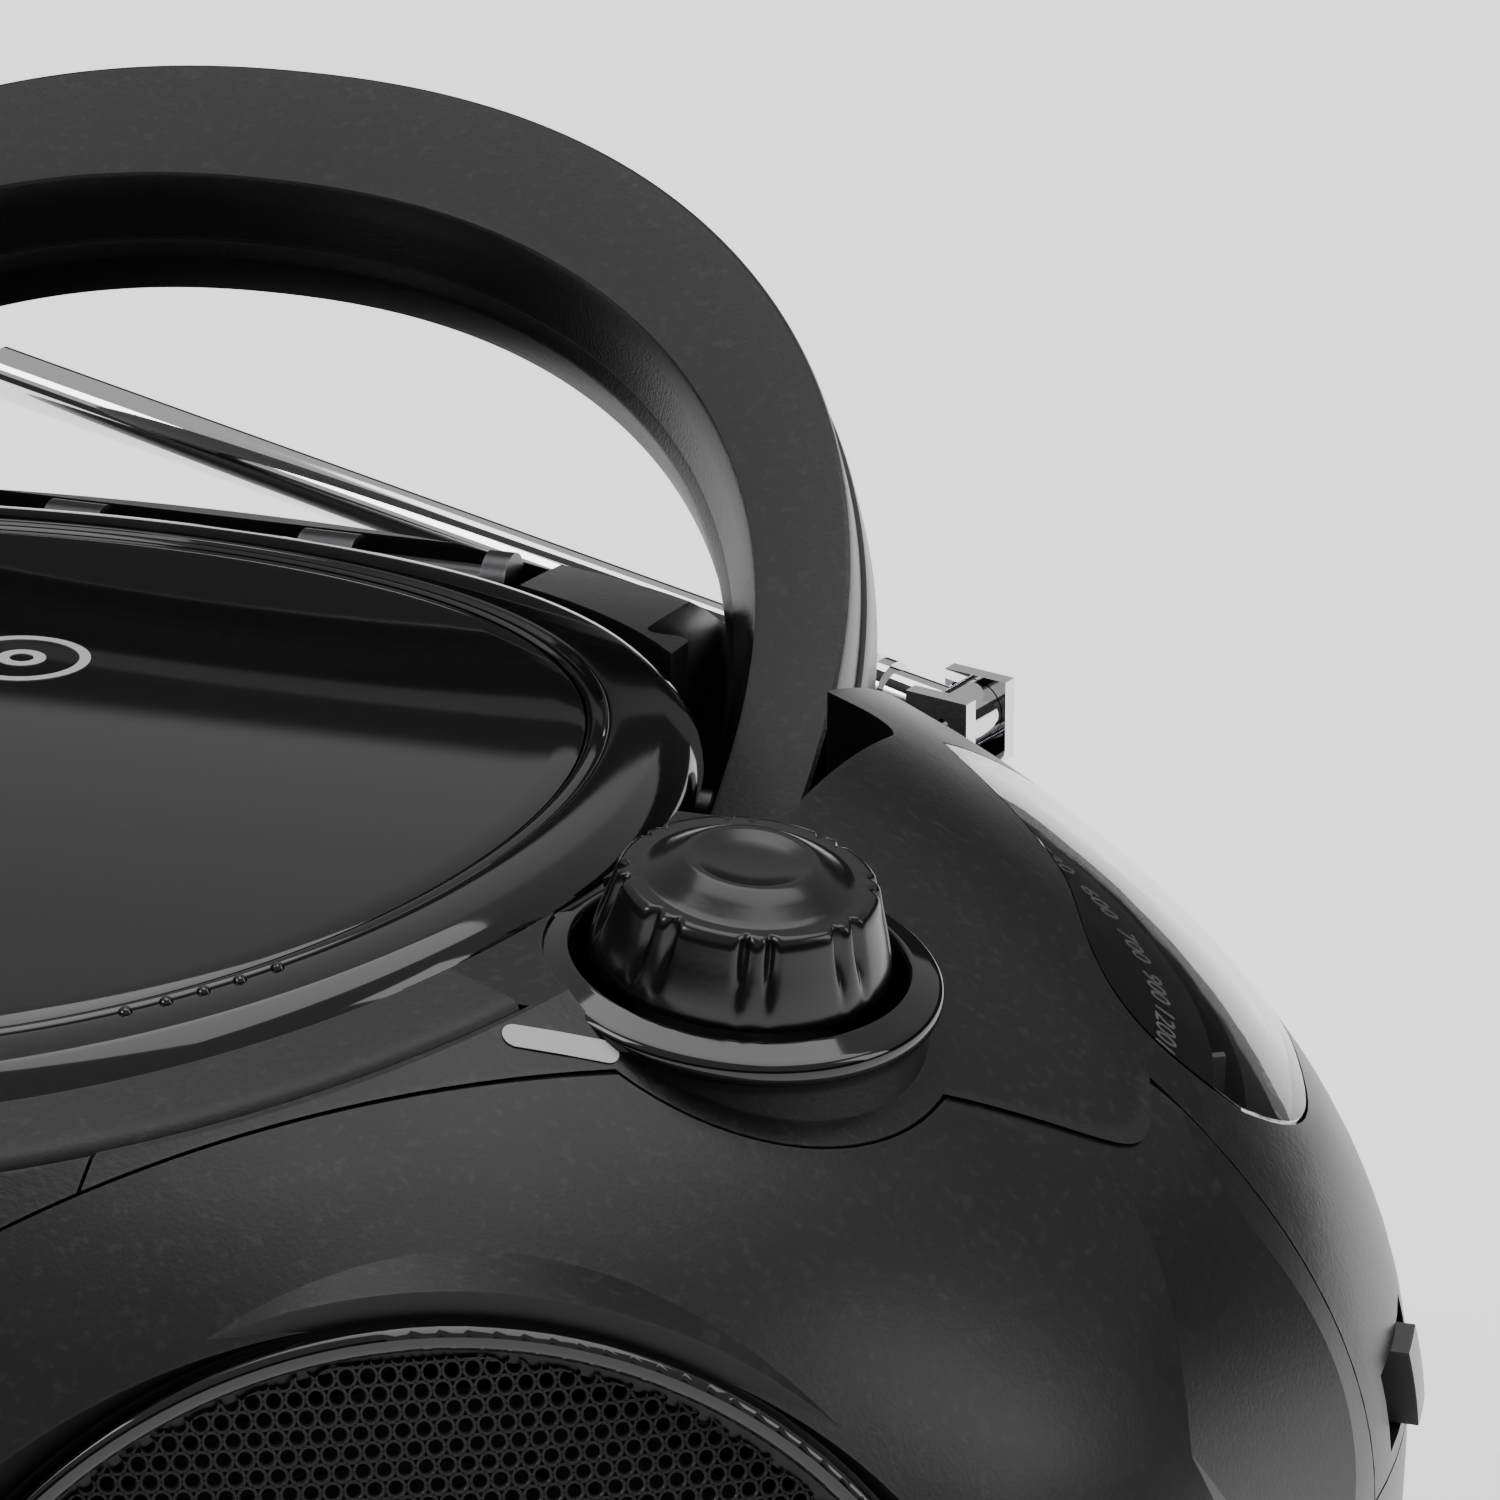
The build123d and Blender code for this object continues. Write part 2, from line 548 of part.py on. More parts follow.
# ---------------------------------------------------------------- side switch and sockets
switch_skin = bulb(-1.6)
slider = block(120, 150, switch_y - 3, switch_y + 3, switch_z - 3.4, switch_z + 3.4) & switch_skin
slider = slider & block(128, 150, -100, 100, 0, 200)
save(slider, "function_switch")
jack_x = -60.0
jack_z = 46.0
rear_y = body_half_d * math.sqrt(1 - (jack_x / body_half_w) ** 2 - ((waist_z - jack_z) / skirt_h) ** 2)
jack = rod_y(jack_x, rear_y - 14, rear_y + 0.6, jack_z, 4.0) - rod_y(jack_x, rear_y - 13, rear_y + 5, jack_z, 1.78)
save(jack, "headphone_socket")
inlet_x = 62.0
inlet = block(inlet_x - 11, inlet_x + 11, rear_y - 16, rear_y - 0.5, jack_z - 8, jack_z + 8)
inlet_well = block(inlet_x - 8.5, inlet_x + 8.5, rear_y - 12, rear_y + 5, jack_z - 5.5, jack_z + 5.5)
inlet = inlet - inlet_well
for px in (-3.6, 3.6):
    inlet += rod_y(inlet_x + px, rear_y - 13, rear_y - 5, jack_z, 1.15)
save(inlet, "power_inlet")

# ---------------------------------------------------------------- battery bay
bay = block(-45, 45, 30, 130, door_z0 - 1, door_z1 + 1) - block(-43.4, 43.4, 31.6, 140, door_z0 + 0.6, door_z1 - 0.6)
bay = bay & case_volume(wall + 2.2)
save(bay, "battery_bay")
door = shell & block(-door_x, door_x, 0, 140, door_z0, door_z1)
save(max(door.solids(), key=lambda s: s.volume), "battery_door")
contacts = None
for i in range(2):
    for side in (-1, 1):
        plate_x = side * 43.0
        z = door_z0 + 10 + 16 * i
        item = block(plate_x - 0.3, plate_x + 0.3, 36, 60, z - 6, z + 6)
        item += Pos(side * 41.0, 48, z) * Rot(0, -90 * side, 0) * Cone(4.5, 2.5, 3.4)
        contacts = item if contacts is None else contacts + item
save(contacts, "battery_contacts")

# ---------------------------------------------------------------- feet, screws, board, transformer
feet = None
screws = None
for sx in (-1, 1):
    for fy in (-52, 58):
        foot = Pos(sx * 74, fy, base_z / 2) * Cone(7.5, 8.5, base_z)
        feet = foot if feet is None else feet + foot
        head = rod(sx * 56, fy * 1.0, base_z - 1.0, base_z - 0.01, 3.2)
        head -= block(sx * 56 - 2.4, sx * 56 + 2.4, fy - 0.4, fy + 0.4, 2.6, 3.6)
        screws = head if screws is None else screws + head
feet = feet + Pos(0, 0, base_z / 2) * Cone(7.5, 8.5, base_z)
save(feet, "feet")
save(screws, "case_screws")
board = block(-42, 42, -44, 26, 62, 63.6)
for cx, cy, cw, cd, ch in ((-20, -20, 16, 16, 3), (18, -24, 12, 18, 3), (10, 8, 20, 10, 8), (-26, 12, 8, 8, 11)):
    board += block(cx - cw / 2, cx + cw / 2, cy - cd / 2, cy + cd / 2, 63.6, 63.6 + ch)
save(board, "main_board")
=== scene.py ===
# %% [markdown]
# # A portable boombox
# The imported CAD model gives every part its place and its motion.
# This notebook gives the parts their looks: smooth outer skins, punched grilles, printed marks and surfaces.
# The scene is in metres, in the same frame as the CAD. The numbers that describe a profile are in
# millimetres, and MM scales them where they become points.

# %% Load the frame
import json
import math
import bmesh
import bpy
from mathutils import Matrix, Vector


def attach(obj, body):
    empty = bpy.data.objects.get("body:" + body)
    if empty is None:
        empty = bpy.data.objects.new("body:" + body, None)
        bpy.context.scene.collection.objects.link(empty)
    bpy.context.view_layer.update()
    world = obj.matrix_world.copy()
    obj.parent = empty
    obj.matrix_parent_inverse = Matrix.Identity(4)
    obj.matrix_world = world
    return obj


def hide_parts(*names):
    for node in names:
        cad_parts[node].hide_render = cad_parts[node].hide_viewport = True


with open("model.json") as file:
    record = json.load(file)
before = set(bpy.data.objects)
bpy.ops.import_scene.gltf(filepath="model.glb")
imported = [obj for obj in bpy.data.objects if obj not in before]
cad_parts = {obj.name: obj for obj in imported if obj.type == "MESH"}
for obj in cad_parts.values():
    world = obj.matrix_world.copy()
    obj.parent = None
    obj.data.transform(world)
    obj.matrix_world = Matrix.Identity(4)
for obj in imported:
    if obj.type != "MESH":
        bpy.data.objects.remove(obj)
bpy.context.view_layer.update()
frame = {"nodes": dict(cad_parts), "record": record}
nodes = frame["nodes"]

# %% [markdown]
# ## Shared shader groups
# A group is a small tool with named inputs. Each of these gives back a value, a mask or a normal, and
# the material that uses it keeps its own shader. Grain is the fine texture of moulded plastic.
# Wear finds the exposed edges, and Dust gathers on faces that look up.

# %% Group helper
def new_group(name, inputs, outputs):
    tree = bpy.data.node_groups.new(name, "ShaderNodeTree")
    for label, kind, value in inputs:
        sock = tree.interface.new_socket(label, in_out="INPUT", socket_type=kind)
        if value is not None:
            sock.default_value = value
    for label, kind in outputs:
        tree.interface.new_socket(label, in_out="OUTPUT", socket_type=kind)
    return tree, tree.nodes.new("NodeGroupInput"), tree.nodes.new("NodeGroupOutput")


FLOAT, VECTOR, COLOUR = "NodeSocketFloat", "NodeSocketVector", "NodeSocketColor"

# %% Grain group
grain, g_in, g_out = new_group(
    "Grain",
    [("Scale", FLOAT, 1600.0), ("Strength", FLOAT, 0.15), ("Mottle", FLOAT, 0.1)],
    [("Normal", VECTOR), ("Rough add", FLOAT)],
)
coord = grain.nodes.new("ShaderNodeTexCoord")
fine = grain.nodes.new("ShaderNodeTexNoise")
fine.inputs["Detail"].default_value = 3.0
broad = grain.nodes.new("ShaderNodeTexNoise")
broad.inputs["Scale"].default_value = 60.0
bump = grain.nodes.new("ShaderNodeBump")
bump.inputs["Distance"].default_value = 0.00012
spread = grain.nodes.new("ShaderNodeMath")
spread.operation = "MULTIPLY_ADD"
centre = grain.nodes.new("ShaderNodeMath")
centre.operation = "SUBTRACT"
centre.inputs[1].default_value = 0.5
grain.links.new(coord.outputs["Object"], fine.inputs["Vector"])
grain.links.new(coord.outputs["Object"], broad.inputs["Vector"])
grain.links.new(g_in.outputs["Scale"], fine.inputs["Scale"])
grain.links.new(g_in.outputs["Strength"], bump.inputs["Strength"])
grain.links.new(fine.outputs["Fac"], bump.inputs["Height"])
grain.links.new(broad.outputs["Fac"], centre.inputs[0])
grain.links.new(centre.outputs[0], spread.inputs[0])
grain.links.new(g_in.outputs["Mottle"], spread.inputs[1])
spread.inputs[2].default_value = 0.0
grain.links.new(bump.outputs["Normal"], g_out.inputs["Normal"])
grain.links.new(spread.outputs[0], g_out.inputs["Rough add"])

# %% Wear group
wear, w_in, w_out = new_group("Wear", [("Width", FLOAT, 0.0006), ("Amount", FLOAT, 0.5)], [("Mask", FLOAT)])
round_normal = wear.nodes.new("ShaderNodeBevel")
round_normal.samples = 4
geo = wear.nodes.new("ShaderNodeNewGeometry")
dot = wear.nodes.new("ShaderNodeVectorMath")
dot.operation = "DOT_PRODUCT"
edge = wear.nodes.new("ShaderNodeMapRange")
edge.inputs["From Min"].default_value = 0.99
edge.inputs["From Max"].default_value = 0.86
scale_edge = wear.nodes.new("ShaderNodeMath")
scale_edge.operation = "MULTIPLY"
wear.links.new(w_in.outputs["Width"], round_normal.inputs["Radius"])
wear.links.new(round_normal.outputs["Normal"], dot.inputs[0])
wear.links.new(geo.outputs["Normal"], dot.inputs[1])
wear.links.new(dot.outputs["Value"], edge.inputs["Value"])
wear.links.new(edge.outputs["Result"], scale_edge.inputs[0])
wear.links.new(w_in.outputs["Amount"], scale_edge.inputs[1])
wear.links.new(scale_edge.outputs[0], w_out.inputs["Mask"])

# %% Dust group
dust, d_in, d_out = new_group("Dust", [("Amount", FLOAT, 0.04)], [("Mask", FLOAT)])
d_coord = dust.nodes.new("ShaderNodeTexCoord")
d_noise = dust.nodes.new("ShaderNodeTexNoise")
d_noise.inputs["Scale"].default_value = 900.0
d_geo = dust.nodes.new("ShaderNodeNewGeometry")
d_split = dust.nodes.new("ShaderNodeSeparateXYZ")
d_range = dust.nodes.new("ShaderNodeMapRange")
d_range.inputs["From Min"].default_value = 0.55
d_range.inputs["From Max"].default_value = 0.75
d_up = dust.nodes.new("ShaderNodeMath")
d_up.operation = "MULTIPLY"
d_up.use_clamp = True
d_all = dust.nodes.new("ShaderNodeMath")
d_all.operation = "MULTIPLY"
dust.links.new(d_coord.outputs["Object"], d_noise.inputs["Vector"])
dust.links.new(d_noise.outputs["Fac"], d_range.inputs["Value"])
dust.links.new(d_geo.outputs["Normal"], d_split.inputs["Vector"])
dust.links.new(d_split.outputs["Z"], d_up.inputs[0])
dust.links.new(d_range.outputs["Result"], d_up.inputs[1])
dust.links.new(d_up.outputs[0], d_all.inputs[0])
dust.links.new(d_in.outputs["Amount"], d_all.inputs[1])
dust.links.new(d_all.outputs[0], d_out.inputs["Mask"])
print("groups", [g.name for g in bpy.data.node_groups])

# %% [markdown]
# ## Materials
# Most of this object is black plastic, so the surfaces differ by gloss and grain more than by colour.
# One recipe builds them all: a base colour, a lighter tone on worn edges, a little dust, and a grain.

# %% Plastic and metal recipes
def finish_material(name, tone, rough, grain_scale=1600.0, grain_strength=0.15, mottle=0.1,
                    metal=0.0, coat=0.0, wear_amount=0.3, dust_amount=0.04, specular=0.5):
    mat = bpy.data.materials.new(name)
    mat.use_nodes = True
    tree = mat.node_tree
    shader = tree.nodes["Principled BSDF"]
    shader.inputs["Metallic"].default_value = metal
    shader.inputs["Coat Weight"].default_value = coat
    shader.inputs["Coat Roughness"].default_value = 0.03
    shader.inputs["Specular IOR Level"].default_value = specular
    grain_node = tree.nodes.new("ShaderNodeGroup")
    grain_node.node_tree = grain
    grain_node.inputs["Scale"].default_value = grain_scale
    grain_node.inputs["Strength"].default_value = grain_strength
    grain_node.inputs["Mottle"].default_value = mottle
    wear_node = tree.nodes.new("ShaderNodeGroup")
    wear_node.node_tree = wear
    wear_node.inputs["Amount"].default_value = wear_amount
    dust_node = tree.nodes.new("ShaderNodeGroup")
    dust_node.node_tree = dust
    dust_node.inputs["Amount"].default_value = dust_amount
    lighter = tree.nodes.new("ShaderNodeMix")
    lighter.data_type = "RGBA"
    lighter.inputs["A"].default_value = (*tone, 1.0)
    lighter.inputs["B"].default_value = (*[min(1.0, c * 2.2 + 0.02) for c in tone], 1.0)
    dusty = tree.nodes.new("ShaderNodeMix")
    dusty.data_type = "RGBA"
    dusty.inputs["B"].default_value = (0.35, 0.34, 0.33, 1.0)
    rough_sum = tree.nodes.new("ShaderNodeMath")
    rough_sum.operation = "ADD"
    rough_sum.use_clamp = True
    rough_sum.inputs[1].default_value = rough
    tree.links.new(wear_node.outputs["Mask"], lighter.inputs["Factor"])
    tree.links.new(lighter.outputs["Result"], dusty.inputs["A"])
    tree.links.new(dust_node.outputs["Mask"], dusty.inputs["Factor"])
    tree.links.new(dusty.outputs["Result"], shader.inputs["Base Color"])
    tree.links.new(grain_node.outputs["Rough add"], rough_sum.inputs[0])
    tree.links.new(rough_sum.outputs[0], shader.inputs["Roughness"])
    tree.links.new(grain_node.outputs["Normal"], shader.inputs["Normal"])
    return mat


mats = {
    "case_black": finish_material("case_black", (0.007, 0.007, 0.0075), 0.33, 1900, 0.22, specular=0.3),
    "pod_black": finish_material("pod_black", (0.007, 0.007, 0.0075), 0.33, 2400, 0.15, specular=0.3),
    "gloss_black": finish_material("gloss_black", (0.003, 0.003, 0.0035), 0.07, 500, 0.01, 0.03, coat=0.3,
                                   wear_amount=0.1, dust_amount=0.01, specular=0.4),
    "knob_black": finish_material("knob_black", (0.004, 0.004, 0.0045), 0.2, 1500, 0.05, wear_amount=0.2,
                                  dust_amount=0.01, specular=0.45),
    "band_grey": finish_material("band_grey", (0.020, 0.020, 0.021), 0.5, 2600, 0.35, specular=0.3),
    "lid_smoke": finish_material("lid_smoke", (0.006, 0.006, 0.0065), 0.05, 400, 0.005, 0.02,
                                 dust_amount=0.006, specular=0.5),
    "mesh_metal": finish_material("mesh_metal", (0.06, 0.06, 0.06), 0.22, 900, 0.03,
                                  metal=0.7, dust_amount=0.0),
    "handle_grey": finish_material("handle_grey", (0.022, 0.022, 0.023), 0.5, 2600, 0.3, specular=0.3),
    "handle_satin": finish_material("handle_satin", (0.006, 0.006, 0.0065), 0.27, 3200, 0.2, specular=0.4),
    "chrome": finish_material("chrome", (0.75, 0.75, 0.77), 0.05, 700, 0.005, 0.02,
                              metal=1.0, dust_amount=0.0),
    "steel": finish_material("steel", (0.07, 0.07, 0.073), 0.34, 900, 0.1, metal=1.0),
    "rubber": finish_material("rubber", (0.02, 0.02, 0.02), 0.8, 1500, 0.5, dust_amount=0.1),
    "inner_plastic": finish_material("inner_plastic", (0.006, 0.006, 0.0065), 0.45, 1800, 0.3, specular=0.3),
    "print_light": finish_material("print_light", (0.45, 0.45, 0.45), 0.5, 1800, 0.1),
    "paper": finish_material("paper", (0.006, 0.006, 0.006), 0.8, 700, 0.8, specular=0.2),
    "board_green": finish_material("board_green", (0.015, 0.07, 0.03), 0.35, 500, 0.3),
    "key_grey": finish_material("key_grey", (0.045, 0.045, 0.048), 0.28, 1500, 0.1),
}
slot_of = {s["node"]: s["material_slot"] for s in frame["record"]["subparts"]}
print(len(mats), "materials")

# %% Smoked clear plastic
clear = bpy.data.materials.new("dial_clear")
clear.use_nodes = True
clear_shader = clear.node_tree.nodes["Principled BSDF"]
clear_shader.inputs["Base Color"].default_value = (0.6, 0.6, 0.62, 1)
clear_shader.inputs["Transmission Weight"].default_value = 1.0
clear_shader.inputs["IOR"].default_value = 1.1
clear_shader.inputs["Coat Weight"].default_value = 1.0
clear_shader.inputs["Coat Roughness"].default_value = 0.02
clear_grain = clear.node_tree.nodes.new("ShaderNodeGroup")
clear_grain.node_tree = grain
clear_grain.inputs["Strength"].default_value = 0.01
clear_rough = clear.node_tree.nodes.new("ShaderNodeMath")
clear_rough.operation = "ADD"
clear_rough.inputs[1].default_value = 0.03
clear.node_tree.links.new(clear_grain.outputs["Rough add"], clear_rough.inputs[0])
clear.node_tree.links.new(clear_rough.outputs[0], clear_shader.inputs["Roughness"])
clear.node_tree.links.new(clear_grain.outputs["Normal"], clear_shader.inputs["Coat Normal"])
mats["dial_clear"] = clear

# %% Paint every CAD node by its slot
for name, obj in nodes.items():
    for i in range(len(obj.data.materials)):
        obj.data.materials[i] = mats[slot_of[name]]
print("painted", len(nodes))

# %% [markdown]
# ## Building tools
# A ring of points is spun around an axis, and each point is then moved to its final place by a rule.
# The radius of a point says which profile point it is, and its angle says how far along the path it is.

# %% Spin and place
def finish_piece(bm, name, material, body, stands_for, smooth=35.0):
    bmesh.ops.recalc_face_normals(bm, faces=bm.faces)
    mesh = bpy.data.meshes.new(name)
    bm.to_mesh(mesh)
    bm.free()
    for face in mesh.polygons:
        face.use_smooth = True
    mesh.set_sharp_from_angle(angle=math.radians(smooth))
    obj = bpy.data.objects.new(name, mesh)
    bpy.context.scene.collection.objects.link(obj)
    mesh.materials.append(mats[material])
    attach(obj, body)
    if stands_for:
        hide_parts(*stands_for)
    return obj


def spun(count, steps, place, closed_ring=True, closed_path=False):
    bm = bmesh.new()
    made = bmesh.ops.create_circle(bm, segments=count, radius=1.0, cap_ends=False)
    ring = list(made["verts"])
    for k, v in enumerate(ring):
        v.co = Vector((2.0 + 0.01 * k, 0, 0))
    if not closed_ring:
        last = [e for e in bm.edges if {e.verts[0], e.verts[1]} == {ring[0], ring[-1]}]
        bmesh.ops.delete(bm, geom=last, context="EDGES_FACES")
    turn = 2 * math.pi if closed_path else math.pi
    bmesh.ops.spin(bm, geom=list(bm.edges), cent=(0, 0, 0), axis=(0, 0, 1), angle=turn, steps=steps,
                   use_merge=closed_path, use_duplicate=False)
    for v in bm.verts:
        k = round((v.co.xy.length - 2.0) / 0.01)
        s = (math.atan2(v.co.y, v.co.x) % (2 * math.pi)) / turn
        v.co = place(k, min(s, 1.0))
    bmesh.ops.remove_doubles(bm, verts=bm.verts, dist=1e-6)
    return bm


MM = 0.001


def barrel(y):
    return 0.122 - y * y / (2 * 0.355)


def dome(x, y):
    return 0.066 + 0.070 * math.sqrt(max(0.0, 1 - (x / 0.135) ** 2 - (y / 0.109) ** 2))


# %% [markdown]
# ## The handle
# The arch follows a squared-off oval. Its front is a flat matt face and its inside edge is cut back
# as a broad satin bevel, so the two shells are made with their own profiles.

# %% Handle shells
LEAN = math.radians(58)
handle_at = Vector((0, 0.0437, 0.1035))
handle_up = Vector((0, math.sin(LEAN), math.cos(LEAN)))
handle_out = Vector((0, -math.cos(LEAN), math.sin(LEAN)))


def arch_point(profile):
    def place(k, s):
        half, height, z = profile[k]
        if s < 0.06:
            x, h = half, -6.4 * (1 - s / 0.06)
        elif s > 0.94:
            x, h = -half, -6.4 * (s - 0.94) / 0.06
        else:
            t = math.pi * (s - 0.06) / 0.88
            c, n = math.cos(t), math.sin(t)
            x = half * math.copysign(abs(c) ** (2 / 2.2), c)
            h = height * abs(n) ** (2 / 2.2)
        return (Vector((x, 0, 0)) + handle_up * h + handle_out * z) * MM + handle_at
    return place


front_profile = [
    (70.9, 76.0, 0.05), (70.9, 76.0, 5.9), (70.75, 75.85, 6.3), (70.4, 75.5, 6.5), (63.0, 62.9, 6.5),
    (62.6, 62.5, 6.35), (62.3, 62.2, 6.0), (61.2, 61.1, 3.6), (59.6, 59.5, 0.05),
]
rear_profile = [
    (59.6, 59.5, -0.05), (58.75, 58.65, -1.3), (58.55, 58.45, -1.9), (58.5, 58.4, -6.0), (58.9, 58.8, -6.5),
    (70.7, 75.8, -6.5), (71.2, 76.3, -6.2), (71.4, 76.5, -5.7), (71.4, 76.5, -0.7), (71.3, 76.4, -0.15),
    (71.0, 76.1, -0.05),
]
for name, profile, node in (
    ("handle_face", front_profile, "handle_front"),
    ("handle_back", rear_profile, "handle_rear"),
):
    bm = spun(len(profile), 150, arch_point(profile))
    ends = [e for e in bm.edges if e.is_boundary]
    bmesh.ops.holes_fill(bm, edges=ends)
    obj = finish_piece(bm, name, "handle_grey", "handle", [node], 25)
    obj.data.materials.append(mats["handle_satin"])
    for face in obj.data.polygons:
        away = Vector(face.normal).dot(handle_out)
        if away < 0.9:
            face.material_index = 1
print("handle made")

# %% [markdown]
# ## The lid
# The lid is turned as a flat ring and then bent over the curved top of the case.
# Its window is a separate smoked disc, set a little below the rounded rim.

# %% Lid rim
rim_profile = [(60.2, -3.6), (60.2, 0.15), (60.5, 0.4), (61.0, 0.45), (61.5, 0.3), (61.8, 0.55)]
for i in range(15):
    t = math.pi * 0.62 * i / 14
    rim_profile.append((65.6 - 3.6 * math.cos(t) * (1 if t < math.pi / 2 else 1.32), 0.55 + 0.45 * math.sin(t)
                        - (0 if t < math.pi / 2 else 0.9 * (1 - math.sin(t)))))
rim_profile += [(69.2, -0.6), (69.9, -1.5), (70.3, -2.6), (70.4, -3.6)]


def bent_ring(profile, start=0.0, turn=1.0):
    def place(k, s):
        r, z = profile[k]
        a = 2 * math.pi * (start + turn * s)
        x, y = r * math.cos(a) * MM, r * math.sin(a) * MM
        return Vector((x, y, barrel(y) + z * MM))
    return place


bm = spun(len(rim_profile), 220, bent_ring(rim_profile), closed_path=True)
finish_piece(bm, "lid_rim", "gloss_black", "lid", ["lid_frame"], 40)

# %% Lid window
pane_profile = [(0.001, 0.25)] + [(60.0 * i / 24, 0.25) for i in range(1, 24)]
pane_profile += [(59.5, 0.2), (59.95, 0.05), (60.0, -1.2)]
bm = spun(len(pane_profile), 200, bent_ring(pane_profile), closed_ring=False, closed_path=True)
finish_piece(bm, "lid_pane", "lid_smoke", "lid", ["lid_window"], 60)

# %% Surround band
band_profile = [(71.6, -0.9), (71.6, 0.1), (71.9, 0.38)] + [(71.9 + 7.6 * i / 6, 0.38) for i in range(1, 7)]
band_profile += [(80.1, 0.1), (80.5, -0.5), (80.5, -1.2)]


def band_point(k, s):
    r, z = band_profile[k]
    a = math.radians(-151.5 + 123 * s)
    x, y = r * math.cos(a) * MM, r * math.sin(a) * MM
    return Vector((x, y, min(barrel(y), dome(x, y)) + z * MM))


bm = spun(len(band_profile), 120, band_point, closed_ring=False)
finish_piece(bm, "band_skin", "band_grey", "chassis", ["lid_surround"], 40)
print("lid and band made")

# %% [markdown]
# ## Knobs
# Each knob is one turned profile. The rim is scalloped by pulling the radius in at even steps.

# %% Knob and collar
knob_axis = Vector((0.13, -0.06, 0.9897)).normalized()
knob_at = Vector((0.0844, -0.0218, 0.1188))
knob_turn = Vector((0, 0, 1)).rotation_difference(knob_axis).to_matrix()
knob_profile = [
    (0.001, 9.7, 0), (2.0, 9.75, 0), (3.8, 9.95, 0), (4.9, 10.3, 0), (5.4, 10.35, 0), (5.9, 10.2, 0),
    (7.2, 9.5, 0), (8.4, 8.75, 0), (8.9, 8.5, 0), (9.3, 8.4, 0.1), (10.2, 8.5, 0.3), (10.75, 8.4, 0.8),
    (11.1, 8.05, 1.0), (11.35, 7.2, 1.0), (11.6, 6.2, 1.0), (11.95, 5.0, 0.85), (12.3, 3.8, 0.5), (12.6, 2.6, 0.2),
    (12.8, 1.6, 0.05), (12.85, 0.7, 0),
]


def knob_point(side):
    def place(k, s):
        r, z, scallop = knob_profile[k]
        phase = (s * 8) % 1.0
        near = min(abs(phase - 0.37), abs(phase - 0.63))
        r -= 0.8 * scallop * math.exp(-(near / 0.055) ** 2)
        a = 2 * math.pi * s
        p = knob_turn @ Vector((r * math.cos(a), r * math.sin(a), z)) * MM + knob_at
        p.x *= side
        return p
    return place


collar_profile = [
    (14.2, -3.5), (14.2, 0.2), (14.3, 0.6), (14.6, 0.85), (15.0, 0.8), (16.5, 0.1), (16.9, 0.05), (17.3, -0.2),
    (17.5, -0.7), (17.5, -1.3), (17.3, -1.9),
]
skirt_profile = [(17.3, -1.6), (17.0, -2.2), (16.75, -3.2), (16.7, -6.0), (16.7, -9.5)]


def collar_point(profile, side):
    def place(k, s):
        r, z = profile[k]
        a = 2 * math.pi * s
        p = knob_turn @ Vector((r * math.cos(a), r * math.sin(a), z)) * MM + knob_at
        flat = p.xy.length
        if flat < 0.0712:
            p.x, p.y = p.x * 0.0712 / flat, p.y * 0.0712 / flat
        p.x *= side
        return p
    return place


for side, knob, collar in ((1, "tuning_knob", "knob_collar_right"), (-1, "volume_knob", "knob_collar_left")):
    bm = spun(len(knob_profile), 288, knob_point(side), closed_ring=False, closed_path=True)
    finish_piece(bm, knob + "_skin", "knob_black", knob, [knob], 40)
    bm = spun(len(collar_profile), 160, collar_point(collar_profile, side),
              closed_ring=False, closed_path=True)
    finish_piece(bm, collar + "_skin", "gloss_black", "chassis", [collar], 45)
    bm = spun(len(skirt_profile), 160, collar_point(skirt_profile, side), closed_ring=False, closed_path=True)
    finish_piece(bm, collar + "_skirt", "case_black", "chassis", [], 60)
print("knobs made")

# %% [markdown]
# ## Grilles
# One hexagon with a round hole is copied over the disc, trimmed to its edge and raised to a shallow dome.

# %% Punched mesh
yaw, pitch = math.radians(28), math.radians(8)
cone_out = Vector((math.sin(yaw) * math.cos(pitch), -math.cos(yaw) * math.cos(pitch), math.sin(pitch)))
cone_side = Vector((math.cos(yaw), math.sin(yaw), 0))
cone_up = cone_out.cross(cone_side)
cone_at = Vector((0.075, -0.076, 0.057))
PITCH, HOLE, REACH = 1.72, 0.6, 46.0
CAP_R = (48.0 ** 2 + 7.0 ** 2) / 14.0


def one_cell():
    bm = bmesh.new()
    flat_turn = Matrix.Rotation(math.radians(30), 4, "Z")
    rims = []
    for count, radius, z in (
        (6, PITCH / math.sqrt(3), 0.0),
        (12, HOLE + 0.08, 0.0),
        (12, HOLE, -0.1),
        (12, HOLE, -0.7),
    ):
        turn = flat_turn if count == 6 else Matrix.Identity(4)
        made = bmesh.ops.create_circle(bm, segments=count, radius=radius, cap_ends=False,
                                       matrix=Matrix.Translation((0, 0, z)) @ turn)
        ring_verts = set(made["verts"])
        rims.append([e for e in bm.edges if e.verts[0] in ring_verts and e.verts[1] in ring_verts])
    for a, b in zip(rims, rims[1:]):
        bmesh.ops.bridge_loops(bm, edges=a + b)
    return bm


